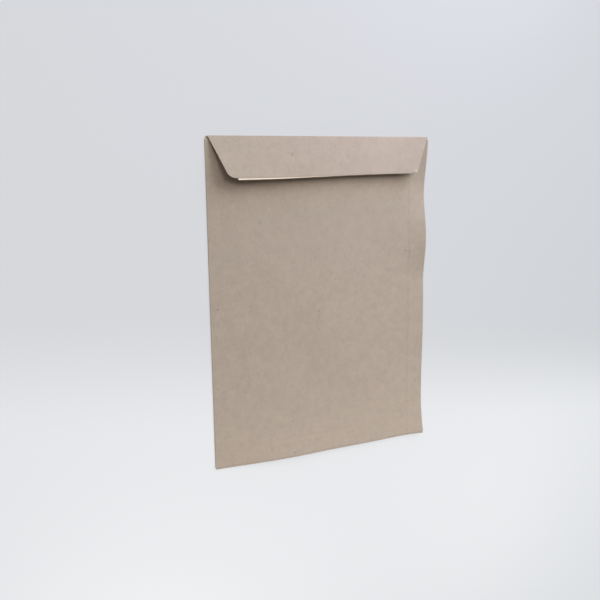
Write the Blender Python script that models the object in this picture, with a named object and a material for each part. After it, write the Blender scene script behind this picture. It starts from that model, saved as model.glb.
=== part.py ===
"""Kraft envelope for 9 x 12 in papers, empty, lying with its seam side up.

One sheet of kraft paper is creased into a front panel, a back panel hinged on
the left fold, a side strip folded in from the right, a bottom flap folded up
inside and a seal flap hinged on the top fold. The back panel is glued over
the strip and over the bottom flap. A stripe of adhesive under the seal flap
still carries its release liner, which hangs a little past the free edge.

X runs across the envelope, Y towards the top fold and Z up. The origin is in
the middle of the footprint, on the surface that the envelope lies on.
"""
import math

import bmesh
import bpy
import numpy as np

# Driving dimensions in metres and degrees
ENVELOPE_WIDTH = 0.2286
ENVELOPE_HEIGHT = 0.3048
PAPER = 0.00016
GLUE_LINE = 0.00006

SIDE_FOLD_REACH = 0.0008
SIDE_FOLD_HEIGHT = 0.0007
CREASE_RADIUS = 0.00035

SEAM_FROM_RIGHT = 0.0186
SEAM_LAP = 0.012
BOTTOM_FLAP_HEIGHT = 0.020
BOTTOM_FLAP_RELIEF = 0.002
BACK_SETBACK = 0.001
THROAT_DEPTH = 0.003
LAYER_RAMP = 0.003

FLAP_DEPTH = 0.0364
FLAP_SKEW = 0.0036
FLAP_INSET = 0.0150
FLAP_RELIEF_LEFT = 0.0028
FLAP_RELIEF_RIGHT = 0.0014
FLAP_CORNER_LEFT = 0.0085
FLAP_CORNER_RIGHT = 0.0045
FLAP_OPENING_LEFT = 18.5
FLAP_OPENING_MIDDLE = 11.2
FLAP_OPENING_RIGHT = 14.8
FLAP_CURL = 0.0005

ADHESIVE_WIDTH = 0.016
ADHESIVE_LENGTH = 0.168
ADHESIVE_FROM_EDGE = 0.004
ADHESIVE_THICKNESS = 0.0001
LINER_WIDTH = 0.024
LINER_LENGTH = 0.1800
LINER_RIGHT_OF_MIDDLE = 0.0014
LINER_OVERHANG_LEFT = 0.0018
LINER_OVERHANG_RIGHT = 0.0006
LINER_THICKNESS = 0.00007
SEAT_GAP = 0.0003

# Pocket fullness, and the lift of the curled edges off the surface
POCKET_PUFF = 0.0022
TOP_BOW = 0.0045
TOP_BOW_LENGTH = 0.140
RIGHT_CURL_WIDTH = 0.046
TOP_CORNER_CURL = 0.0070
TOP_CORNER_LENGTH = 0.050
EDGE_RIPPLE = 0.0052
EDGE_RIPPLE_FROM_TOP = 0.100
EDGE_RIPPLE_LENGTH = 0.090
LOW_RIPPLE = 0.0018
LOW_RIPPLE_FROM_TOP = 0.180
LOW_RIPPLE_LENGTH = 0.130
BOTTOM_CORNER_CURL = 0.0056
BOTTOM_CORNER_LENGTH = 0.042
BOTTOM_CURL_WIDTH = 0.058
BOTTOM_BOW = 0.0052
BOTTOM_BOW_FROM_LEFT = 0.080
BOTTOM_BOW_LENGTH = 0.170
BOTTOM_RIPPLE = 0.0036
BOTTOM_RIPPLE_FROM_LEFT = 0.165
BOTTOM_RIPPLE_LENGTH = 0.120

# Mesh fineness
FLAT_PITCH = 0.020
CURL_PITCH = 0.0085
ROW_PITCH = 0.0100
FOLD_STEPS = 4
FLAP_ROWS = 6
CORNER_STEPS = 3
LINER_PITCH = 0.007
CUT_EDGE_ANGLE = math.radians(60)

KRAFT_COLOUR = (0.46, 0.38, 0.31)
LINER_COLOUR = (0.78, 0.72, 0.62)
ADHESIVE_COLOUR = (0.80, 0.74, 0.58)

# Places worked out from the dimensions
HALF_WIDTH = ENVELOPE_WIDTH / 2
HALF_HEIGHT = ENVELOPE_HEIGHT / 2
LAYER = PAPER + GLUE_LINE
PANEL_SIDE = HALF_WIDTH - PAPER / 2 - SIDE_FOLD_REACH
PANEL_BOTTOM = -HALF_HEIGHT + PAPER / 2 + SIDE_FOLD_REACH
PANEL_TOP = HALF_HEIGHT - PAPER / 2 - CREASE_RADIUS
SEAM_X = HALF_WIDTH - SEAM_FROM_RIGHT
LAP_X = SEAM_X - SEAM_LAP
BACK_BOTTOM = PANEL_BOTTOM + BACK_SETBACK
BOTTOM_FLAP_Y = -HALF_HEIGHT + BOTTOM_FLAP_HEIGHT
THROAT_Y = HALF_HEIGHT - THROAT_DEPTH
CREASE_LEFT = -HALF_WIDTH + FLAP_RELIEF_LEFT
CREASE_RIGHT = HALF_WIDTH - FLAP_RELIEF_RIGHT
BOTTOM_FOLD_HALF = HALF_WIDTH - BOTTOM_FLAP_RELIEF


def clear_scene():
    """Remove every object, so that the script can be run again."""
    for obj in list(bpy.data.objects):
        bpy.data.objects.remove(obj, do_unlink=True)


def swell(distance, length):
    """A smooth hump: 1 in its middle, level at both ends, 0 beyond half its length."""
    t = np.clip(np.abs(distance) / (length / 2), 0.0, 1.0)
    return (1 - t * t) ** 2


def curl(inward, width):
    """Lift of a curling edge: 1 on the edge, falling as a parabola to a level sheet."""
    return np.clip(1 - inward / width, 0.0, 1.0) ** 2


def step_up(value, start, end):
    """A ramp with soft ends, from 0 at start to 1 at end."""
    t = np.clip((value - start) / (end - start), 0.0, 1.0)
    return t * t * (3 - 2 * t)


def lift(x, y):
    """Height of the front panel's outer face above the surface that it lies on."""
    below_top = HALF_HEIGHT - y
    from_left = x + HALF_WIDTH
    right_edge = (
        TOP_CORNER_CURL * swell(below_top, 2 * TOP_CORNER_LENGTH)
        + EDGE_RIPPLE * swell(below_top - EDGE_RIPPLE_FROM_TOP, EDGE_RIPPLE_LENGTH)
        + LOW_RIPPLE * swell(below_top - LOW_RIPPLE_FROM_TOP, LOW_RIPPLE_LENGTH)
    )
    bottom_edge = (
        BOTTOM_BOW * swell(from_left - BOTTOM_BOW_FROM_LEFT, BOTTOM_BOW_LENGTH)
        + BOTTOM_RIPPLE * swell(from_left - BOTTOM_RIPPLE_FROM_LEFT, BOTTOM_RIPPLE_LENGTH)
    )
    corner = (
        BOTTOM_CORNER_CURL
        * curl(HALF_HEIGHT + y, BOTTOM_CORNER_LENGTH)
        * curl(HALF_WIDTH - x, RIGHT_CURL_WIDTH)
    )
    top_bow = TOP_BOW * np.clip(1 - (x / HALF_WIDTH) ** 2, 0.0, 1.0) * curl(below_top, TOP_BOW_LENGTH)
    return (
        right_edge * curl(HALF_WIDTH - x, RIGHT_CURL_WIDTH)
        + bottom_edge * curl(HALF_HEIGHT + y, BOTTOM_CURL_WIDTH)
        + corner
        + top_bow
    )


def front_height(x, y):
    """Mid-surface of the front panel."""
    return lift(x, y) + PAPER / 2


def inner_gap(x, y):
    """Rise from the front panel to the innermost layer above it, from fold to fold."""
    across = 1 - np.clip(x / PANEL_SIDE, -1.0, 1.0) ** 2
    middle = (THROAT_Y + PANEL_BOTTOM) / 2
    half = (THROAT_Y - PANEL_BOTTOM) / 2
    along = 1 - np.clip((y - middle) / half, -1.0, 1.0) ** 2
    return SIDE_FOLD_HEIGHT + POCKET_PUFF * across * along


def over_bottom_flap(y):
    """1 where a panel lies on the bottom flap, 0 above the flap's edge."""
    return 1 - step_up(y, BOTTOM_FLAP_Y, BOTTOM_FLAP_Y + LAYER_RAMP)


def over_strip(x):
    """1 where the back panel lies on the side strip, 0 left of the strip's edge."""
    return step_up(x, LAP_X - LAYER_RAMP, LAP_X)


def bottom_flap_height(x, y):
    """Mid-surface of the bottom flap, folded up inside the pocket."""
    return front_height(x, y) + inner_gap(x, y)


def strip_height(x, y):
    """Mid-surface of the side strip, one layer above the bottom flap."""
    return front_height(x, y) + inner_gap(x, y) + LAYER * over_bottom_flap(y)


def back_height(x, y):
    """Mid-surface of the back panel, one layer above the strip and the bottom flap."""
    return strip_height(x, y) + LAYER * over_strip(x)


def along_crease(x):
    """Place along the top crease: -1 at its left end, 1 at its right end."""
    return (2 * x - CREASE_LEFT - CREASE_RIGHT) / (CREASE_RIGHT - CREASE_LEFT)


def opening_angle(x):
    """How far the seal flap springs open, in radians: least in its middle, by a parabola."""
    t = along_crease(x)
    ends = (FLAP_OPENING_LEFT + FLAP_OPENING_RIGHT) / 2
    tilt = (FLAP_OPENING_RIGHT - FLAP_OPENING_LEFT) / 2
    return np.radians(FLAP_OPENING_MIDDLE + tilt * t + (ends - FLAP_OPENING_MIDDLE) * t * t)


def flap_depth(x):
    """Depth of the seal flap, whose free edge is cut slightly out of square."""
    return FLAP_DEPTH - FLAP_SKEW / 2 * along_crease(x)


def flap_surface(x, s, below=0.0):
    """Point of the seal flap at s down from its crease, and below its mid-surface.

    The flap leaves the crease's arc at the opening angle and curls up by a
    parabola towards its free edge.
    """
    angle = opening_angle(x)
    root = front_height(x, PANEL_TOP) + CREASE_RADIUS * (1 + np.cos(angle))
    rise = s * np.sin(angle) + FLAP_CURL * (s / FLAP_DEPTH) ** 2
    y = PANEL_TOP + CREASE_RADIUS * np.sin(angle) - s * np.cos(angle)
    return np.stack([x, y - below * np.sin(angle), root + rise - below * np.cos(angle)], axis=-1)


def grid_lines(start, end, pitch, marks=()):
    """Places from start to end, no further apart than pitch, with one on every mark."""
    keys = sorted({start, end, *[mark for mark in marks if start < mark < end]})
    lines = []
    for low, high in zip(keys, keys[1:]):
        count = max(1, math.ceil((high - low) / pitch - 1e-6))
        lines += [low + (high - low) * k / count for k in range(count)]
    return np.array(lines + [end])


def column_lines():
    """Lines across the envelope, closer together where its right side curls."""
    marks = [-BOTTOM_FOLD_HALF, BOTTOM_FOLD_HALF, CREASE_LEFT, CREASE_RIGHT]
    marks += [LAP_X - LAYER_RAMP, LAP_X, SEAM_X]
    curl_start = HALF_WIDTH - RIGHT_CURL_WIDTH
    flat = grid_lines(-PANEL_SIDE, curl_start, FLAT_PITCH, marks)
    curled = grid_lines(curl_start, PANEL_SIDE, CURL_PITCH, marks)
    return np.concatenate([flat[:-1], curled])


def row_lines():
    """Lines up the envelope, with one on each cut edge and on each step of the layers."""
    marks = [BACK_BOTTOM, BOTTOM_FLAP_Y, BOTTOM_FLAP_Y + LAYER_RAMP, THROAT_Y]
    return grid_lines(PANEL_BOTTOM, PANEL_TOP, ROW_PITCH, marks)


def between(lines, low, high):
    """The grid lines from low to high, both included."""
    return lines[(lines > low - 1e-7) & (lines < high + 1e-7)]


def panel(columns, rows, height):
    """Grid of points of a panel whose mid-surface has the given height."""
    x, y = np.meshgrid(columns, rows)
    return np.stack([x, y, height(x, y)], axis=-1)


def turned_fold(outer, inner, direction):
    """Half an ellipse of points from one edge line to the edge line above it."""
    middle = (outer + inner) / 2
    half = (outer - inner) / 2
    reach = np.array(direction) * SIDE_FOLD_REACH
    turns = np.linspace(0, math.pi, FOLD_STEPS + 1)
    return np.stack([middle + half * math.cos(a) + reach * math.sin(a) for a in turns])


def top_crease(columns):
    """Arc that turns the front panel over into the seal flap."""
    angle = opening_angle(columns)
    base = front_height(columns, PANEL_TOP)
    rows = []
    for k in range(FOLD_STEPS + 2):
        turn = (math.pi - angle) * k / (FOLD_STEPS + 1)
        y = PANEL_TOP + CREASE_RADIUS * np.sin(turn)
        z = base + CREASE_RADIUS * (1 - np.cos(turn))
        rows.append(np.stack([columns, y, z], axis=-1))
    return np.stack(rows)


def flap_corner(crease_end, radius, side):
    """Arc of a lower corner of the seal flap, from its slanted side to its free edge."""
    slant = math.atan2(FLAP_INSET, FLAP_DEPTH)
    turn = math.pi / 2 - slant
    centre_x = crease_end - side * (FLAP_INSET + radius * math.tan(turn / 2))
    angles = slant + np.linspace(0, 1, CORNER_STEPS + 1) * turn
    return centre_x + side * radius * np.cos(angles), FLAP_DEPTH - radius + radius * np.sin(angles)


def flap_outline(columns):
    """Free edge of the seal flap on the flat blank, one point for each column.

    It starts and ends on the slanted sides, where the round corners begin.
    """
    left_x, left_s = flap_corner(CREASE_LEFT, FLAP_CORNER_LEFT, -1)
    right_x, right_s = flap_corner(CREASE_RIGHT, FLAP_CORNER_RIGHT, 1)
    inner = columns[CORNER_STEPS:-CORNER_STEPS]
    share = (inner - inner[0]) / (inner[-1] - inner[0])
    edge_x = left_x[-1] + (right_x[-1] - left_x[-1]) * share
    x = np.concatenate([left_x[:-1], edge_x, right_x[-2::-1]])
    s = np.concatenate([left_s[:-1], np.full(len(inner), FLAP_DEPTH), right_s[-2::-1]])
    return x, s


def seal_flap(columns):
    """Grid of points of the seal flap, from its crease to its free edge."""
    edge_x, edge_s = flap_outline(columns)
    edge_s = edge_s * flap_depth(edge_x) / FLAP_DEPTH
    share = np.linspace(0, 1, FLAP_ROWS + 1)[:, None]
    x = columns + (edge_x - columns) * share
    return flap_surface(x, edge_s * share)


def envelope_patches():
    """The folded sheet as grids that share their edge points."""
    columns = column_lines()
    rows = row_lines()
    panel_rows = between(rows, BACK_BOTTOM, THROAT_Y)
    crease_columns = between(columns, CREASE_LEFT, CREASE_RIGHT)
    bottom_columns = between(columns, -BOTTOM_FOLD_HALF, BOTTOM_FOLD_HALF)
    flap_rows = between(rows, PANEL_BOTTOM, BOTTOM_FLAP_Y)

    front = panel(columns, rows, front_height)
    back = panel(between(columns, -PANEL_SIDE, SEAM_X), panel_rows, back_height)
    strip = panel(between(columns, LAP_X, PANEL_SIDE), panel_rows, strip_height)
    bottom = panel(bottom_columns, flap_rows, bottom_flap_height)

    front_left = panel(columns[:1], panel_rows, front_height)[:, 0]
    front_right = panel(columns[-1:], panel_rows, front_height)[:, 0]
    front_bottom = panel(bottom_columns, rows[:1], front_height)[0]
    return [
        front,
        back,
        strip,
        bottom,
        turned_fold(back[:, 0], front_left, (-1, 0, 0)),
        turned_fold(strip[:, -1], front_right, (1, 0, 0)),
        turned_fold(bottom[0], front_bottom, (0, -1, 0)),
        top_crease(crease_columns),
        seal_flap(crease_columns),
    ]


def strip_under_flap(middle, length, width, overhang_left, overhang_right, below):
    """Grid of a straight strip stuck under the seal flap, measured from its free edge."""
    across = grid_lines(middle - length / 2, middle + length / 2, LINER_PITCH)
    share = (across - across[0]) / length
    overhang = overhang_left + (overhang_right - overhang_left) * share
    far = flap_depth(across) + overhang
    rows = [flap_surface(across, far - width * k / 2, below) for k in range(3)]
    return np.stack(rows)


def add_patch(bm, points):
    """Add a grid of points as triangles, every quad split along the same diagonal."""
    rows, columns = points.shape[:2]
    verts = [[bm.verts.new(points[i, j]) for j in range(columns)] for i in range(rows)]
    for i in range(rows - 1):
        for j in range(columns - 1):
            low_left = verts[i][j]
            low_right = verts[i][j + 1]
            top_right = verts[i + 1][j + 1]
            top_left = verts[i + 1][j]
            bm.faces.new((low_left, low_right, top_right))
            bm.faces.new((low_left, top_right, top_left))


def material(name, colour, roughness):
    """Plain finish of a piece."""
    finish = bpy.data.materials.new(name)
    finish.use_nodes = True
    shader = finish.node_tree.nodes["Principled BSDF"]
    shader.inputs["Base Color"].default_value = (*colour, 1.0)
    shader.inputs["Roughness"].default_value = roughness
    shader.inputs["Metallic"].default_value = 0.0
    return finish


def sheet_object(name, patches, thickness, finish):
    """Weld the patches into one sheet, thicken it and shade it smooth between its cut edges."""
    bm = bmesh.new()
    for points in patches:
        add_patch(bm, points)
    bmesh.ops.remove_doubles(bm, verts=bm.verts, dist=1e-6)
    bmesh.ops.recalc_face_normals(bm, faces=bm.faces)
    mesh = bpy.data.meshes.new(name)
    bm.to_mesh(mesh)
    bm.free()
    mesh.materials.append(finish)
    obj = bpy.data.objects.new(name, mesh)
    bpy.context.scene.collection.objects.link(obj)
    wall = obj.modifiers.new("sheet_thickness", "SOLIDIFY")
    wall.thickness = thickness
    wall.offset = 0.0
    wall.use_even_offset = True
    wall.use_quality_normals = True
    graph = bpy.context.evaluated_depsgraph_get()
    solid = bpy.data.meshes.new_from_object(obj.evaluated_get(graph))
    solid.name = name
    solid.shade_smooth()
    solid.set_sharp_from_angle(angle=CUT_EDGE_ANGLE)
    obj.modifiers.clear()
    obj.data = solid
    return obj


def build_envelope():
    """The creased and glued kraft sheet."""
    kraft = material("kraft_paper", KRAFT_COLOUR, 0.85)
    return sheet_object("envelope_sheet", envelope_patches(), PAPER, kraft)


def build_closure():
    """Adhesive stripe under the seal flap, and the release liner that covers it."""
    adhesive_depth = PAPER / 2 + SEAT_GAP + ADHESIVE_THICKNESS / 2
    liner_depth = adhesive_depth + ADHESIVE_THICKNESS / 2 + SEAT_GAP + LINER_THICKNESS / 2
    adhesive_grid = strip_under_flap(
        LINER_RIGHT_OF_MIDDLE,
        ADHESIVE_LENGTH,
        ADHESIVE_WIDTH,
        -ADHESIVE_FROM_EDGE,
        -ADHESIVE_FROM_EDGE,
        adhesive_depth,
    )
    liner_grid = strip_under_flap(
        LINER_RIGHT_OF_MIDDLE,
        LINER_LENGTH,
        LINER_WIDTH,
        LINER_OVERHANG_LEFT,
        LINER_OVERHANG_RIGHT,
        liner_depth,
    )
    adhesive = material("adhesive", ADHESIVE_COLOUR, 0.35)
    liner = material("glassine_liner", LINER_COLOUR, 0.45)
    sheet_object("adhesive_stripe", [adhesive_grid], ADHESIVE_THICKNESS, adhesive)
    sheet_object("release_liner", [liner_grid], LINER_THICKNESS, liner)


def main():
    """Build every piece of the envelope."""
    clear_scene()
    build_envelope()
    build_closure()


main()
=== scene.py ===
import math

import bmesh
import bpy
import numpy as np
from mathutils import Matrix, Vector


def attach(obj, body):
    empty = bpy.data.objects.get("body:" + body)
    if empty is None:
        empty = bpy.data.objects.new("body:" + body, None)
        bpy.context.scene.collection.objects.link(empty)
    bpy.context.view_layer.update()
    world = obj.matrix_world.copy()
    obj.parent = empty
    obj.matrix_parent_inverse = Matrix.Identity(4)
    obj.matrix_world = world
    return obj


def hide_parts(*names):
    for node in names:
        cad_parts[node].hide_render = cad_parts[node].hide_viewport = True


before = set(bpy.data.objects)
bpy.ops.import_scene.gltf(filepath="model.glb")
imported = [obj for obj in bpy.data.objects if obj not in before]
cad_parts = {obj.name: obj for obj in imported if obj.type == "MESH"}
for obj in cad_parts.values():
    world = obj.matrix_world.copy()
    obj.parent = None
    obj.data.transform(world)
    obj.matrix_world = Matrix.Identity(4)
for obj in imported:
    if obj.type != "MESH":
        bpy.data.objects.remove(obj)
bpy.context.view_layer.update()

# Dimensions of the envelope, as in the part's source, where only the bottom flap's
# relief, the seal flap's right corner and the top right curl are slightly larger
ENVELOPE_WIDTH = 0.2286
ENVELOPE_HEIGHT = 0.3048
PAPER = 0.00016
GLUE_LINE = 0.00006
SIDE_FOLD_REACH = 0.0008
SIDE_FOLD_HEIGHT = 0.0007
CREASE_RADIUS = 0.00035
SEAM_FROM_RIGHT = 0.0186
SEAM_LAP = 0.012
BOTTOM_FLAP_HEIGHT = 0.020
BOTTOM_FLAP_RELIEF = 0.0009
BACK_SETBACK = 0.001
THROAT_DEPTH = 0.003

# The paper bridges each hidden edge so softly that the photograph shows no step
LAP_BRIDGE = 0.020
BOTTOM_BRIDGE = 0.014

FLAP_DEPTH = 0.0364
FLAP_SKEW = 0.0036
FLAP_INSET = 0.0150
FLAP_RELIEF_LEFT = 0.0028
FLAP_RELIEF_RIGHT = 0.0014
FLAP_CORNER_LEFT = 0.0085
FLAP_CORNER_RIGHT = 0.0032
FLAP_OPENING_LEFT = 18.5
FLAP_OPENING_MIDDLE = 11.2
FLAP_OPENING_RIGHT = 14.8
FLAP_CURL = 0.0005

ADHESIVE_WIDTH = 0.016
ADHESIVE_LENGTH = 0.168
ADHESIVE_FROM_EDGE = 0.004
ADHESIVE_THICKNESS = 0.0001
LINER_WIDTH = 0.024
LINER_LENGTH = 0.1800
LINER_RIGHT_OF_MIDDLE = 0.0014
LINER_OVERHANG_LEFT = 0.0018
LINER_OVERHANG_RIGHT = 0.0006
LINER_THICKNESS = 0.00007

# Narrowing of the liner's showing edge right of its middle, and the hair's breadth
# left open where the liner and the adhesive stick
LINER_NARROWING = 0.0007
LINER_NARROW_AT = 0.62
SEAT_GAP = 0.00006

# Pocket fullness, and the lift of the curled edges off the floor
POCKET_PUFF = 0.0022
TOP_BOW = 0.0045
TOP_BOW_LENGTH = 0.140
RIGHT_CURL_WIDTH = 0.046
TOP_CORNER_CURL = 0.0062
TOP_CORNER_LENGTH = 0.054
EDGE_RIPPLE = 0.0052
EDGE_RIPPLE_FROM_TOP = 0.100
EDGE_RIPPLE_LENGTH = 0.090
LOW_RIPPLE = 0.0018
LOW_RIPPLE_FROM_TOP = 0.180
LOW_RIPPLE_LENGTH = 0.130
BOTTOM_CORNER_CURL = 0.0056
BOTTOM_CORNER_LENGTH = 0.042
BOTTOM_CURL_WIDTH = 0.058
BOTTOM_BOW = 0.0052
BOTTOM_BOW_FROM_LEFT = 0.080
BOTTOM_BOW_LENGTH = 0.170
BOTTOM_RIPPLE = 0.0036
BOTTOM_RIPPLE_FROM_LEFT = 0.165
BOTTOM_RIPPLE_LENGTH = 0.120

# Handling waves of the loose back panel, and the flap's bend between crease and edge,
# too shallow for the part's source. Each wave: its direction, its length over 2 pi, its
# bend and the bend's length over 2 pi, its phase, and its share of the height
WAVE_HEIGHT = 0.00018
WAVES = (
    (1.0, 0.0, 0.0165, 1.1, 0.037, 0.7, 1.0),
    (0.0, 1.0, 0.0210, 0.9, 0.029, 2.1, 1.0),
    (1.0, 0.8, 0.0130, 0.0, 1.000, 4.0, 0.7),
)
FLAP_BEND = 0.00035

# Painted shade along the seam, with paler flanks, and painted shade with a painted highlight
# just below it along the bottom flap's edge: place beside the line, width, and share of the
# paper's colour
SEAM_PAINTED_SHADE = ((0.0, 0.0014, -0.045), (-0.0030, 0.0010, 0.0158), (0.0030, 0.0010, 0.0158))
EMBOSS_SHADE_AND_HIGHLIGHT = ((0.0, 0.0014, -0.030), (-0.0036, 0.0013, 0.015))
# How clearly the painted shade and highlight of the bottom flap's edge show: faint, and clearer
# round one place from the left
EMBOSS_FAINT = 0.35
EMBOSS_CLEAR_FROM_LEFT = 0.085
EMBOSS_CLEAR_WIDTH = 0.035

# Painted highlight on the right tip of the seal flap
TIP_PAINTED_HIGHLIGHT = 0.30
TIP_WIDTH = 0.0017
TIP_PLACE = (0.0974, 0.1190)

# Where the painted shade and highlight lie: from below the seal flap down, and this far above the
# front panel
MARKS_FROM_TOP = FLAP_DEPTH + 0.004
BACK_LEAST_RISE = 0.0004
FLAP_LEAST_RISE = 0.003

# Fineness of the grids, and the distances at which points count as the same
FLAT_PITCH = 0.0030
CURL_PITCH = 0.0022
ROW_PITCH = 0.0030
SEAM_LINES = np.arange(-8, 9) * 0.00035
EMBOSS_LINES = np.arange(-6, 7) * 0.0006
FOLD_STEPS = 8
FLAP_ROWS = 20
CORNER_STEPS = 10
STRIP_PITCH = 0.0025
STRIP_ROWS = 8
SAME_PLACE = 1e-7
WELD_DISTANCE = 1e-6
CUT_EDGE_ANGLE = math.radians(60)

# Places worked out from the dimensions
HALF_WIDTH = ENVELOPE_WIDTH / 2
HALF_HEIGHT = ENVELOPE_HEIGHT / 2
LAYER = PAPER + GLUE_LINE
PANEL_SIDE = HALF_WIDTH - PAPER / 2 - SIDE_FOLD_REACH
PANEL_BOTTOM = -HALF_HEIGHT + PAPER / 2 + SIDE_FOLD_REACH
PANEL_TOP = HALF_HEIGHT - PAPER / 2 - CREASE_RADIUS
SEAM_X = HALF_WIDTH - SEAM_FROM_RIGHT
LAP_X = SEAM_X - SEAM_LAP
BACK_BOTTOM = PANEL_BOTTOM + BACK_SETBACK
BOTTOM_FLAP_Y = -HALF_HEIGHT + BOTTOM_FLAP_HEIGHT
THROAT_Y = HALF_HEIGHT - THROAT_DEPTH
CREASE_LEFT = -HALF_WIDTH + FLAP_RELIEF_LEFT
CREASE_RIGHT = HALF_WIDTH - FLAP_RELIEF_RIGHT
BOTTOM_FOLD_HALF = HALF_WIDTH - BOTTOM_FLAP_RELIEF

# Camera, solved from the four corners of the envelope in the photograph
CAMERA_PLACE = (-0.32417, 0.12097, 0.63371)
CAMERA_RIGHT = (0.9030, -0.0133, 0.4295)
CAMERA_UP = (0.0847, 0.9854, -0.1474)
CAMERA_LENS = 45.0
CAMERA_SENSOR = 36.0

# Body colour of the kraft
KRAFT = "#B1A598"

# Floor, just under the envelope: its colour changes towards the right, and towards the
# far side along a slightly turned line. Its last value is the share that glows
FLOOR_HALF = 1.6
FLOOR_GAP = 0.0002
FLOOR_FADE_RIGHT = (-0.36, 0.40)
FLOOR_FADE_FAR = (-0.135, -0.015)
FLOOR_FADE_TURN = (0.12, 1.0, 0.0)
FLOOR_GLOW = 0.75


# ---------------------------------------------------------------- paper surfaces


def swell(distance, length):
    """A smooth hump, (1 - t^2)^2, where t is the distance over half its length; 0 beyond."""
    t = np.clip(np.abs(distance) / (length / 2), 0.0, 1.0)
    return (1 - t * t) ** 2


def curl(inward, width):
    """Lift of a curling edge: a parabola, 1 on the edge and 0 from its width inwards."""
    return np.clip(1 - inward / width, 0.0, 1.0) ** 2


def step_up(value, start, end):
    """A ramp with level ends, t^2 (3 - 2t), where t goes from 0 at start to 1 at end."""
    t = np.clip((value - start) / (end - start), 0.0, 1.0)
    return t * t * (3 - 2 * t)


def lift(x, y):
    """Height of the front panel's outer face above the floor.

    Humps along the right and bottom edges, each times a parabola that falls
    inwards, plus a curled bottom corner and a bow under the flap's crease.
    """
    below_top = HALF_HEIGHT - y
    from_left = x + HALF_WIDTH
    right_edge = (
        TOP_CORNER_CURL * swell(below_top, 2 * TOP_CORNER_LENGTH)
        + EDGE_RIPPLE * swell(below_top - EDGE_RIPPLE_FROM_TOP, EDGE_RIPPLE_LENGTH)
        + LOW_RIPPLE * swell(below_top - LOW_RIPPLE_FROM_TOP, LOW_RIPPLE_LENGTH)
    )
    bottom_edge = (
        BOTTOM_BOW * swell(from_left - BOTTOM_BOW_FROM_LEFT, BOTTOM_BOW_LENGTH)
        + BOTTOM_RIPPLE * swell(from_left - BOTTOM_RIPPLE_FROM_LEFT, BOTTOM_RIPPLE_LENGTH)
    )
    corner = (
        BOTTOM_CORNER_CURL
        * curl(HALF_HEIGHT + y, BOTTOM_CORNER_LENGTH)
        * curl(HALF_WIDTH - x, RIGHT_CURL_WIDTH)
    )
    bow = np.clip(1 - (x / HALF_WIDTH) ** 2, 0.0, 1.0)
    return (
        right_edge * curl(HALF_WIDTH - x, RIGHT_CURL_WIDTH)
        + bottom_edge * curl(HALF_HEIGHT + y, BOTTOM_CURL_WIDTH)
        + corner
        + TOP_BOW * bow * curl(below_top, TOP_BOW_LENGTH)
    )


def front_height(x, y):
    """Mid-surface of the front panel: half a paper above its outer face."""
    return lift(x, y) + PAPER / 2


def handling_waves(x, y):
    """Shallow waves of the back panel, faded out towards the folds.

    A sum of sines, each bent by a slower sine that runs across it, times a parabola
    from side to side and a fourth power from end to end.
    """
    across = np.clip(1 - (x / PANEL_SIDE) ** 2, 0.0, 1.0)
    along = np.clip(1 - (y / HALF_HEIGHT) ** 4, 0.0, 1.0)
    waves = sum(
        share * np.sin(
            (to_x * x + to_y * y) / length + bend * np.sin((to_y * x + to_x * y) / slow) + phase
        )
        for to_x, to_y, length, bend, slow, phase, share in WAVES
    )
    return WAVE_HEIGHT * across * along * waves


def inner_gap(x, y):
    """Rise from the front panel to the innermost layer above it, from fold to fold.

    The folds' height, plus a pillow that is a parabola each way, plus the waves.
    """
    across = 1 - np.clip(x / PANEL_SIDE, -1.0, 1.0) ** 2
    middle = (THROAT_Y + PANEL_BOTTOM) / 2
    half = (THROAT_Y - PANEL_BOTTOM) / 2
    along = 1 - np.clip((y - middle) / half, -1.0, 1.0) ** 2
    return SIDE_FOLD_HEIGHT + POCKET_PUFF * across * along + handling_waves(x, y)


def over_bottom_flap(y):
    """1 where a panel lies on the bottom flap, with a smooth step down above its edge."""
    return 1 - step_up(y, BOTTOM_FLAP_Y, BOTTOM_FLAP_Y + BOTTOM_BRIDGE)


def over_strip(x):
    """1 where the back panel lies on the side strip, with a smooth step down left of it."""
    return step_up(x, LAP_X - LAP_BRIDGE, LAP_X)


def bottom_flap_height(x, y):
    """Mid-surface of the bottom flap, folded up inside the pocket."""
    return front_height(x, y) + inner_gap(x, y)


def strip_height(x, y):
    """Mid-surface of the side strip, one layer above the bottom flap."""
    return front_height(x, y) + inner_gap(x, y) + LAYER * over_bottom_flap(y)


def back_height(x, y):
    """Mid-surface of the back panel, one layer above the strip and the bottom flap."""
    return strip_height(x, y) + LAYER * over_strip(x)


def along_crease(x):
    """Place along the top crease: -1 at its left end, 1 at its right end."""
    return (2 * x - CREASE_LEFT - CREASE_RIGHT) / (CREASE_RIGHT - CREASE_LEFT)


def opening_angle(x):
    """How far the seal flap springs open, in radians: a parabola, least in its middle."""
    t = along_crease(x)
    ends = (FLAP_OPENING_LEFT + FLAP_OPENING_RIGHT) / 2
    tilt = (FLAP_OPENING_RIGHT - FLAP_OPENING_LEFT) / 2
    return np.radians(FLAP_OPENING_MIDDLE + tilt * t + (ends - FLAP_OPENING_MIDDLE) * t * t)


def flap_depth(x):
    """Depth of the seal flap, whose free edge is cut slightly out of square."""
    return FLAP_DEPTH - FLAP_SKEW / 2 * along_crease(x)


def flap_surface(x, s, below=0.0):
    """Points of the seal flap at s down from its crease, and below its mid-surface.

    It runs straight from the crease's arc at the opening angle. Above that line it
    rises by a parabola towards its free edge, and by half a sine between the two.
    """
    angle = opening_angle(x)
    root = front_height(x, PANEL_TOP) + CREASE_RADIUS * (1 + np.cos(angle))
    share = s / FLAP_DEPTH
    rise = s * np.sin(angle) + FLAP_CURL * share ** 2 + FLAP_BEND * np.sin(math.pi * share)
    y = PANEL_TOP + CREASE_RADIUS * np.sin(angle) - s * np.cos(angle)
    return np.stack([x, y - below * np.sin(angle), root + rise - below * np.cos(angle)], axis=-1)


# ---------------------------------------------------------------- grids of points


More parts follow.
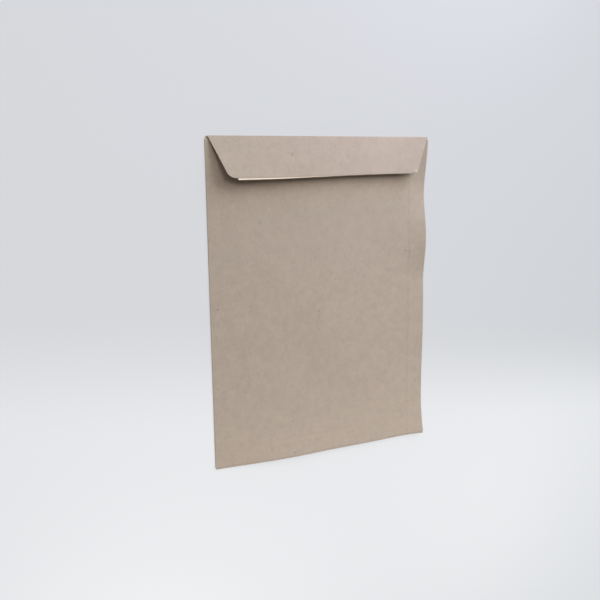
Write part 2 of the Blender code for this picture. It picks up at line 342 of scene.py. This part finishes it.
def grid_lines(start, end, pitch, marks=()):
    """Places from start to end, evenly shared between marks, no further apart than pitch."""
    keys = sorted({start, end, *[m for m in marks if start < m < end]})
    lines = []
    for low, high in zip(keys, keys[1:]):
        count = max(1, math.ceil((high - low) / pitch - 1e-6))
        lines.append(np.linspace(low, high, count, endpoint=False))
    return np.concatenate(lines + [[end]])


def column_lines():
    """Lines across the envelope, closer together at the seam and on the curled side."""
    marks = [-BOTTOM_FOLD_HALF, BOTTOM_FOLD_HALF, CREASE_LEFT, CREASE_RIGHT, LAP_X]
    marks += (SEAM_X + SEAM_LINES).tolist()
    curl_start = HALF_WIDTH - RIGHT_CURL_WIDTH
    flat = grid_lines(-PANEL_SIDE, curl_start, FLAT_PITCH, marks)
    curled = grid_lines(curl_start, PANEL_SIDE, CURL_PITCH, marks)
    return np.concatenate([flat[:-1], curled])


def row_lines():
    """Lines up the envelope, closer together over the bottom flap's edge."""
    marks = [BACK_BOTTOM, THROAT_Y, *(BOTTOM_FLAP_Y + EMBOSS_LINES).tolist()]
    return grid_lines(PANEL_BOTTOM, PANEL_TOP, ROW_PITCH, marks)


def between(lines, low, high):
    """The grid lines from low to high, both included."""
    return lines[(lines > low - SAME_PLACE) & (lines < high + SAME_PLACE)]


def panel(columns, rows, height):
    """Grid of points of a panel whose mid-surface has the given height."""
    x, y = np.meshgrid(columns, rows)
    return np.stack([x, y, height(x, y)], axis=-1)


def turned_fold(outer, inner, direction):
    """Half an ellipse from one edge line to the edge line above it.

    Middle of the two, plus half their difference times the cosine, plus the
    fold's reach times the sine of the turn.
    """
    turn = np.linspace(0, math.pi, FOLD_STEPS + 1)[:, None, None]
    reach = np.array(direction) * SIDE_FOLD_REACH
    return (outer + inner) / 2 + (outer - inner) / 2 * np.cos(turn) + reach * np.sin(turn)


def top_crease(columns):
    """Arc of the crease's radius that turns the front panel over into the seal flap."""
    steps = 2 * FOLD_STEPS
    turn = (math.pi - opening_angle(columns)) * np.linspace(0, 1, steps + 1)[:, None]
    x = np.broadcast_to(columns, turn.shape)
    y = PANEL_TOP + CREASE_RADIUS * np.sin(turn)
    z = front_height(columns, PANEL_TOP) + CREASE_RADIUS * (1 - np.cos(turn))
    return np.stack([x, y, z], axis=-1)


def flap_corner(crease_end, radius, side):
    """Arc of a lower corner of the seal flap, tangent to its slanted side and free edge."""
    slant = math.atan2(FLAP_INSET, FLAP_DEPTH)
    turn = math.pi / 2 - slant
    centre_x = crease_end - side * (FLAP_INSET + radius * math.tan(turn / 2))
    angles = slant + np.linspace(0, 1, CORNER_STEPS + 1) * turn
    return centre_x + side * radius * np.cos(angles), FLAP_DEPTH - radius + radius * np.sin(angles)


def flap_outline(columns):
    """Free edge of the seal flap on the flat blank, one point for each column.

    Left corner's arc, then evenly shared places on the straight edge, then the
    right corner's arc.
    """
    left_x, left_s = flap_corner(CREASE_LEFT, FLAP_CORNER_LEFT, -1)
    right_x, right_s = flap_corner(CREASE_RIGHT, FLAP_CORNER_RIGHT, 1)
    inner = columns[CORNER_STEPS:-CORNER_STEPS]
    share = (inner - inner[0]) / (inner[-1] - inner[0])
    edge_x = left_x[-1] + (right_x[-1] - left_x[-1]) * share
    x = np.concatenate([left_x[:-1], edge_x, right_x[-2::-1]])
    s = np.concatenate([left_s[:-1], np.full(len(inner), FLAP_DEPTH), right_s[-2::-1]])
    return x, s


def seal_flap(columns):
    """Grid of the seal flap: straight lines on the blank from the crease to the free edge."""
    edge_x, edge_s = flap_outline(columns)
    edge_s = edge_s * flap_depth(edge_x) / FLAP_DEPTH
    share = np.linspace(0, 1, FLAP_ROWS + 1)[:, None]
    return flap_surface(columns + (edge_x - columns) * share, edge_s * share)


def envelope_patches():
    """The folded sheet as grids that share their edge points."""
    columns = column_lines()
    rows = row_lines()
    panel_rows = between(rows, BACK_BOTTOM, THROAT_Y)
    crease_columns = between(columns, CREASE_LEFT, CREASE_RIGHT)
    bottom_columns = between(columns, -BOTTOM_FOLD_HALF, BOTTOM_FOLD_HALF)
    flap_rows = between(rows, PANEL_BOTTOM, BOTTOM_FLAP_Y)

    back = panel(between(columns, -PANEL_SIDE, SEAM_X), panel_rows, back_height)
    strip = panel(between(columns, LAP_X, PANEL_SIDE), panel_rows, strip_height)
    bottom = panel(bottom_columns, flap_rows, bottom_flap_height)
    front_left = panel(columns[:1], panel_rows, front_height)[:, 0]
    front_right = panel(columns[-1:], panel_rows, front_height)[:, 0]
    front_bottom = panel(bottom_columns, rows[:1], front_height)[0]
    return [
        panel(columns, rows, front_height),
        back,
        strip,
        bottom,
        turned_fold(back[:, 0], front_left, (-1, 0, 0)),
        turned_fold(strip[:, -1], front_right, (1, 0, 0)),
        turned_fold(bottom[0], front_bottom, (0, -1, 0)),
        top_crease(crease_columns),
        seal_flap(crease_columns),
    ]


def strip_under_flap(length, width, overhang_left, overhang_right, narrowing, below):
    """Grid of a strip stuck under the seal flap, measured from the flap's free edge.

    Its overhang runs evenly from left to right, less the narrowing's hump.
    """
    middle = LINER_RIGHT_OF_MIDDLE
    across = grid_lines(middle - length / 2, middle + length / 2, STRIP_PITCH)
    along = (across - across[0]) / length
    overhang = overhang_left + (overhang_right - overhang_left) * along
    overhang = overhang - narrowing * swell(along - LINER_NARROW_AT, 1.0)
    up = np.linspace(0, width, STRIP_ROWS + 1)[:, None]
    s = flap_depth(across) + overhang - up
    return flap_surface(np.broadcast_to(across, s.shape), s, below)


# ---------------------------------------------------------------- meshes


def bell(distance, width):
    """A bell curve, exp(-d^2), where d is the distance over the width."""
    return np.exp(-(distance / width) ** 2)


def line_marks(distance, marks):
    """Sum of the bell curves of the given marks, each at its place beside a line."""
    return sum(share * bell(distance - place, width) for place, width, share in marks)


def painted_shade_and_highlights(points):
    """Painted shade and highlights on the sheet, as shares of its colour, at the given points.

    Bell curves across the seam and across the bottom flap's edge, on the back panel
    alone, the second clearer round one place, and a bell curve round the flap's tip.
    """
    x, y, z = points.T
    rise = z - lift(x, y)
    back = (rise > BACK_LEAST_RISE) & (HALF_HEIGHT - y > MARKS_FROM_TOP)
    seam = line_marks(x - SEAM_X, SEAM_PAINTED_SHADE)
    clear = bell(x + HALF_WIDTH - EMBOSS_CLEAR_FROM_LEFT, EMBOSS_CLEAR_WIDTH)
    emboss_shade_strength = EMBOSS_FAINT + (1 - EMBOSS_FAINT) * clear
    emboss_shade = emboss_shade_strength * line_marks(y - BOTTOM_FLAP_Y, EMBOSS_SHADE_AND_HIGHLIGHT)
    from_tip = np.hypot(x - TIP_PLACE[0], y - TIP_PLACE[1])
    tip = TIP_PAINTED_HIGHLIGHT * bell(from_tip, TIP_WIDTH) * (rise > FLAP_LEAST_RISE)
    return back * (seam + emboss_shade) + tip


def grid_faces(rows, columns, first):
    """Quads of a grid as rows of four point numbers, counted from its first point."""
    low = first + np.arange(rows - 1)[:, None] * columns + np.arange(columns - 1)
    quads = np.stack([low, low + 1, low + columns + 1, low + columns], axis=-1)
    return quads.reshape(-1, 4)


def paper_piece(name, patches, thickness, face, cut):
    """One paper piece: patches welded at their shared points, thickened, smooth to its cuts.

    Solidify moves the grid half the thickness each way, and closes the cuts.
    """
    points = np.concatenate([patch.reshape(-1, 3) for patch in patches])
    faces, first = [], 0
    for patch in patches:
        faces.append(grid_faces(*patch.shape[:2], first))
        first += patch.shape[0] * patch.shape[1]
    mesh = bpy.data.meshes.new(name)
    mesh.from_pydata(points, [], np.concatenate(faces))
    bm = bmesh.new()
    bm.from_mesh(mesh)
    bmesh.ops.remove_doubles(bm, verts=bm.verts, dist=WELD_DISTANCE)
    bmesh.ops.recalc_face_normals(bm, faces=bm.faces)
    bm.to_mesh(mesh)
    bm.free()
    mesh.materials.append(face)
    mesh.materials.append(cut)
    piece = bpy.data.objects.new(name, mesh)
    bpy.context.scene.collection.objects.link(piece)
    wall = piece.modifiers.new("paper_thickness", "SOLIDIFY")
    wall.thickness = thickness
    wall.offset = 0.0
    wall.use_even_offset = True
    wall.use_quality_normals = True
    wall.material_offset_rim = 1
    solid = bpy.data.meshes.new_from_object(
        piece.evaluated_get(bpy.context.evaluated_depsgraph_get())
    )
    solid.name = name
    solid.shade_smooth()
    solid.set_sharp_from_angle(angle=CUT_EDGE_ANGLE)
    # Painted shade and highlights of the sheet, laid on its points for the finish to read
    corners = np.empty(3 * len(solid.vertices), dtype=np.float32)
    solid.vertices.foreach_get("co", corners)
    marks = painted_shade_and_highlights(corners.reshape(-1, 3)).astype(np.float32)
    solid.attributes.new("marks", "FLOAT", "POINT").data.foreach_set("value", marks)
    piece.modifiers.clear()
    piece.data = solid
    bpy.data.meshes.remove(mesh)
    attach(piece, "root")
    return piece


# ---------------------------------------------------------------- materials


def linear(hex_colour):
    """An sRGB hex colour as linear red, green, blue and alpha."""
    value = np.array([int(hex_colour[k:k + 2], 16) for k in (1, 3, 5)]) / 255
    colour = np.where(value <= 0.04045, value / 12.92, ((value + 0.055) / 1.055) ** 2.4)
    return (*colour.tolist(), 1.0)


def new_finish(name, colour, roughness, specular):
    """An opaque finish: its material, its node tree and its shader."""
    finish = bpy.data.materials.new(name)
    finish.use_nodes = True
    tree = finish.node_tree
    shader = tree.nodes["Principled BSDF"]
    shader.inputs["Base Color"].default_value = linear(colour)
    shader.inputs["Roughness"].default_value = roughness
    shader.inputs["Specular IOR Level"].default_value = specular
    return finish, tree, shader


def add_node(tree, kind, links=None, values=None, **settings):
    """Add a node, with its settings, its input values and the sockets that feed it."""
    node = tree.nodes.new(kind)
    for name, value in settings.items():
        setattr(node, name, value)
    for name, value in (values or {}).items():
        node.inputs[name].default_value = value
    for name, socket in (links or {}).items():
        tree.links.new(socket, node.inputs[name])
    return node


def seen_ray(tree):
    """1 for rays of the camera, of reflections and through clear things, 0 for light."""
    rays = add_node(tree, "ShaderNodeLightPath").outputs
    seen = rays["Is Camera Ray"]
    for kind in ("Is Glossy Ray", "Is Transmission Ray"):
        node = add_node(tree, "ShaderNodeMath", {0: seen, 1: rays[kind]}, operation="MAXIMUM")
        seen = node.outputs[0]
    return seen


def kraft_paper():
    """Unbleached recycled kraft, made on a wire from mixed brown pulp.

    The eye gets a matt warm grey-brown with cloudy formation, fine mottle, short
    darker and paler fibres, a few shives and bark specks, and no gloss.
    """
    finish, tree, shader = new_finish(
        "unbleached_kraft_paper", KRAFT, roughness=0.88, specular=0.25
    )
    place = add_node(tree, "ShaderNodeTexCoord").outputs["Object"]

    # Painted shade along the seam and the bottom flap's edge, and a painted highlight on the
    # flap's tip, laid on the mesh's points
    shades = [add_node(tree, "ShaderNodeAttribute", attribute_name="marks").outputs["Fac"]]

    # Noises: turn, cell size in metres, detail and roughness, then each stretch of the
    # noise that shades the paper, and the shares of its colour that its two ends give.
    # Formation clouds of 25 and 9 mm, and mottle of 4 mm, have the size of real flocs.
    # Fibres are 3 mm long: real ones are 0.03 mm wide, drawn 1 mm wide so that they show
    fibre_cell = (0.0050, 0.0021, 0.0032)
    fibre_shades = ((0.63, 0.76, 0.0, -0.055), (0.37, 0.24, 0.0, 0.050))
    for turn, cell, detail, roughness, stretches in (
        (0.0, (0.02500,) * 3, 2.0, 0.5, ((0.3, 0.7, -0.010, 0.010),)),
        (0.0, (0.00909,) * 3, 1.0, 0.5, ((0.3, 0.7, -0.026, 0.026),)),
        (0.0, (0.00435,) * 3, 1.0, 0.4, ((0.3, 0.7, -0.017, 0.017),)),
        (0.30, fibre_cell, 1.0, 0.5, fibre_shades),
        (1.35, fibre_cell, 1.0, 0.5, fibre_shades),
        (1.90, fibre_cell, 1.0, 0.5, fibre_shades),
    ):
        where = add_node(
            tree, "ShaderNodeMapping", {"Vector": place},
            {"Location": (turn, turn, 0.0), "Rotation": (0.0, 0.0, turn), "Scale": cell},
            vector_type="TEXTURE",
        ).outputs["Vector"]
        noise = add_node(
            tree, "ShaderNodeTexNoise", {"Vector": where},
            {"Scale": 1.0, "Detail": detail, "Roughness": roughness},
        ).outputs["Fac"]
        for low, high, at_low, at_high in stretches:
            shade = add_node(
                tree, "ShaderNodeMapRange", {"Value": noise},
                {"From Min": low, "From Max": high, "To Min": at_low, "To Max": at_high},
            ).outputs["Result"]
            shades.append(shade)

    # Ellipses round the points of a few cells of a Voronoi: bark specks 1 to 2 mm across,
    # and dark shives and pale flecks 3 mm long. Turn, cell size in metres, reach as a
    # share of the cell, least random value that is chosen, and share of the colour
    for turn, cell, reach, least, strength in (
        (0.0, (0.0105, 0.0105, 0.0105), 0.100, 0.78, -0.34),
        (1.1, (0.0080, 0.0030, 0.0050), 0.210, 0.84, -0.15),
        (2.3, (0.0080, 0.0030, 0.0050), 0.200, 0.86, -0.14),
        (1.8, (0.0080, 0.0030, 0.0050), 0.210, 0.84, 0.15),
        (0.4, (0.0080, 0.0030, 0.0050), 0.200, 0.88, 0.13),
    ):
        where = add_node(
            tree, "ShaderNodeMapping", {"Vector": place},
            {"Location": (turn, turn, 0.0), "Rotation": (0.0, 0.0, turn), "Scale": cell},
            vector_type="TEXTURE",
        ).outputs["Vector"]
        cells = add_node(
            tree, "ShaderNodeTexVoronoi", {"Vector": where}, {"Scale": 1.0, "Randomness": 1.0}
        ).outputs
        dot = add_node(
            tree, "ShaderNodeMapRange", {"Value": cells["Distance"]},
            {"From Min": reach / 2, "From Max": reach, "To Min": strength, "To Max": 0.0},
        ).outputs["Result"]
        chosen = add_node(
            tree, "ShaderNodeMath", {0: cells["Color"]}, {1: least}, operation="GREATER_THAN"
        ).outputs[0]
        dots = add_node(tree, "ShaderNodeMath", {0: dot, 1: chosen}, operation="MULTIPLY")
        shades.append(dots.outputs[0])

    total = shades[0]
    for shade in shades[1:]:
        total = add_node(tree, "ShaderNodeMath", {0: total, 1: shade}, operation="ADD").outputs[0]
    bright = add_node(tree, "ShaderNodeMath", {0: total}, {1: 1.0}, operation="ADD").outputs[0]
    tinted = add_node(
        tree, "ShaderNodeVectorMath", {0: bright}, {1: linear(KRAFT)[:3]}, operation="MULTIPLY"
    ).outputs[0]
    tree.links.new(tinted, shader.inputs["Base Color"])

    # Tooth of the felt side: fibres stand 5 micrometres proud, drawn 0.7 mm across,
    # coarser than real, so that it shows
    tooth = add_node(
        tree, "ShaderNodeTexNoise", {"Vector": place},
        {"Scale": 1400.0, "Detail": 2.0, "Roughness": 0.6},
    ).outputs["Fac"]
    bump = add_node(
        tree, "ShaderNodeBump", {"Height": tooth}, {"Strength": 0.08, "Distance": 0.00006}
    ).outputs["Normal"]
    tree.links.new(bump, shader.inputs["Normal"])
    return finish


def cut_kraft():
    """Die-cut edge of the kraft: open fibre ends, so paler and quite matt."""
    return new_finish("die_cut_kraft_edge", "#CBBBA9", roughness=0.95, specular=0.2)[0]


def release_paper():
    """Silicone-coated cream glassine: smooth, with a soft sheen and faint 6 mm clouds."""
    finish, tree, shader = new_finish(
        "siliconised_glassine", "#DACDBA", roughness=0.42, specular=0.4
    )
    place = add_node(tree, "ShaderNodeTexCoord").outputs["Object"]
    clouds = add_node(
        tree, "ShaderNodeTexNoise", {"Vector": place},
        {"Scale": 160.0, "Detail": 3.0, "Roughness": 0.6},
    ).outputs["Fac"]
    tint = add_node(
        tree, "ShaderNodeMix", {0: clouds}, {6: linear("#D6C9B5"), 7: linear("#DFD3C1")},
        data_type="RGBA",
    ).outputs[2]
    tree.links.new(tint, shader.inputs["Base Color"])
    return finish


def adhesive():
    """Hot-melt pressure-sensitive adhesive: pale amber, slightly glossy, 3 mm bead ripple."""
    finish, tree, shader = new_finish("hot_melt_adhesive", "#E3D3A8", roughness=0.28, specular=0.5)
    place = add_node(tree, "ShaderNodeTexCoord").outputs["Object"]
    ripple = add_node(
        tree, "ShaderNodeTexNoise", {"Vector": place},
        {"Scale": 380.0, "Detail": 1.0, "Roughness": 0.4},
    ).outputs["Fac"]
    bump = add_node(
        tree, "ShaderNodeBump", {"Height": ripple}, {"Strength": 0.4, "Distance": 0.0001}
    ).outputs["Normal"]
    tree.links.new(bump, shader.inputs["Normal"])
    return finish


def studio_floor():
    """Matt pale sweep of paper, faintly cool, paler towards the near end.

    Its grey evens out the lamps. To the camera, and in reflections, it mostly glows in
    the sweep's own colour, so that it looks plain and the shadow on it stays faint.
    """
    finish, tree, shader = new_finish("matt_paper_sweep", "#E0E2E6", roughness=0.95, specular=0.0)
    place = add_node(tree, "ShaderNodeTexCoord").outputs["Object"]
    across = add_node(tree, "ShaderNodeSeparateXYZ", {"Vector": place}).outputs["X"]
    along = add_node(
        tree, "ShaderNodeVectorMath", {0: place}, {1: FLOOR_FADE_TURN}, operation="DOT_PRODUCT"
    ).outputs["Value"]
    to_right, to_far = (
        add_node(
            tree, "ShaderNodeMapRange", {"Value": value}, {"From Min": low, "From Max": high},
            interpolation_type="SMOOTHSTEP",
        ).outputs["Result"]
        for value, (low, high) in ((across, FLOOR_FADE_RIGHT), (along, FLOOR_FADE_FAR))
    )
    near, far, glowing = (
        add_node(
            tree, "ShaderNodeMix", {0: fade}, {6: linear(first), 7: linear(second)},
            data_type="RGBA",
        ).outputs[2]
        for fade, first, second in (
            (to_right, "#EDEEF2", "#E4E6EA"),
            (to_right, "#E4E5EA", "#BEC1C5"),
            (to_far, "#E9ECEF", "#D8DBDF"),
        )
    )
    base = add_node(tree, "ShaderNodeMix", {0: to_far, 6: near, 7: far}, data_type="RGBA")
    tree.links.new(base.outputs[2], shader.inputs["Base Color"])

    glow = add_node(tree, "ShaderNodeEmission", {"Color": glowing})
    part = add_node(
        tree, "ShaderNodeMath", {0: seen_ray(tree)}, {1: FLOOR_GLOW}, operation="MULTIPLY"
    )
    mixed = add_node(
        tree, "ShaderNodeMixShader", {0: part.outputs[0], 1: shader.outputs[0], 2: glow.outputs[0]}
    )
    tree.links.new(mixed.outputs[0], tree.nodes["Material Output"].inputs["Surface"])
    return finish


# ---------------------------------------------------------------- pieces


def build_envelope():
    """The folded and glued kraft sheet."""
    piece = paper_piece("kraft_envelope", envelope_patches(), PAPER, kraft_paper(), cut_kraft())
    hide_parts("envelope_sheet")


def build_closure():
    """Adhesive stripe under the seal flap, and the release strip that covers it."""
    glue_depth = PAPER / 2 + SEAT_GAP + ADHESIVE_THICKNESS / 2
    strip_depth = glue_depth + ADHESIVE_THICKNESS / 2 + SEAT_GAP + LINER_THICKNESS / 2
    glue_grid = strip_under_flap(
        ADHESIVE_LENGTH, ADHESIVE_WIDTH, -ADHESIVE_FROM_EDGE, -ADHESIVE_FROM_EDGE, 0.0, glue_depth
    )
    strip_grid = strip_under_flap(
        LINER_LENGTH, LINER_WIDTH, LINER_OVERHANG_LEFT, LINER_OVERHANG_RIGHT,
        LINER_NARROWING, strip_depth,
    )
    glue_finish = adhesive()
    strip_finish = release_paper()
    glue = paper_piece("adhesive_line", [glue_grid], ADHESIVE_THICKNESS, glue_finish, glue_finish)
    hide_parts("adhesive_stripe")
    strip = paper_piece("release_strip", [strip_grid], LINER_THICKNESS, strip_finish, strip_finish)
    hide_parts("release_liner")


def build_floor():
    """Plain pale floor under the envelope."""
    corners = np.array([(-1, -1, 0), (1, -1, 0), (1, 1, 0), (-1, 1, 0)]) * FLOOR_HALF
    corners[:, 2] = -FLOOR_GAP
    mesh = bpy.data.meshes.new("studio_floor")
    mesh.from_pydata(corners, [], [(0, 1, 2, 3)])
    mesh.materials.append(studio_floor())
    floor = bpy.data.objects.new("studio_floor", mesh)
    bpy.context.scene.collection.objects.link(floor)


def soft_box(name, place, size, power, colour):
    """A round soft box, its diameter in metres, that faces the envelope's middle."""
    lamp = bpy.data.lights.new(name, "AREA")
    lamp.shape = "DISK"
    lamp.size = size
    lamp.energy = power
    lamp.color = colour
    box = bpy.data.objects.new(name, lamp)
    bpy.context.scene.collection.objects.link(box)
    turn = Vector(place).to_track_quat("Z", "Y").to_matrix().to_4x4()
    box.matrix_world = Matrix.Translation(place) @ turn
    box.visible_camera = False


def set_lights():
    """Four large soft boxes high up beyond the flap, and three small cards low down."""
    soft_box("key_upper_right", (1.024, 1.774, 1.434), 1.20, 26.9, (0.93, 1.03, 1.04))
    soft_box("key_above_flap", (0.0, 1.057, 2.266), 1.20, 17.1, (1.08, 0.98, 0.95))
    soft_box("side_right", (1.774, 1.024, 1.434), 1.20, 20.2, (1.00, 1.02, 0.98))
    soft_box("side_left", (-0.884, 1.531, 1.768), 2.40, 8.5, (1.11, 0.98, 0.91))
    soft_box("card_beyond_flap", (0.20, 0.45, 0.15), 0.20, 0.64, (0.94, 0.85, 1.22))
    soft_box("card_near_right", (0.25, -0.30, 0.25), 0.20, 0.31, (1.08, 0.98, 0.92))
    soft_box("card_near_end", (-0.20, -0.38, 0.16), 0.25, 0.40, (1.10, 0.98, 0.91))

    # The studio round the sweep is pale to look at, and lights nothing
    world = bpy.data.worlds.new("pale_studio")
    world.use_nodes = True
    sky = world.node_tree.nodes["Background"]
    sky.inputs["Color"].default_value = linear("#D8DBDF")
    world.node_tree.links.new(seen_ray(world.node_tree), sky.inputs["Strength"])
    bpy.context.scene.world = world


def set_camera():
    """The photograph's camera, looking down on the envelope from its left."""
    right = Vector(CAMERA_RIGHT).normalized()
    back = right.cross(Vector(CAMERA_UP)).normalized()
    up = back.cross(right)
    lens = bpy.data.cameras.new("photo_camera")
    lens.lens = CAMERA_LENS
    lens.sensor_width = CAMERA_SENSOR
    lens.clip_start = 0.01
    camera = bpy.data.objects.new("photo_camera", lens)
    bpy.context.scene.collection.objects.link(camera)
    turn = Matrix((right, up, back)).transposed().to_4x4()
    camera.matrix_world = Matrix.Translation(CAMERA_PLACE) @ turn
    bpy.context.scene.camera = camera


def main():
    """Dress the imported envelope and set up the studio."""
    build_envelope()
    build_closure()
    build_floor()
    set_lights()
    set_camera()
    bpy.context.scene.view_settings.view_transform = "Standard"


main()
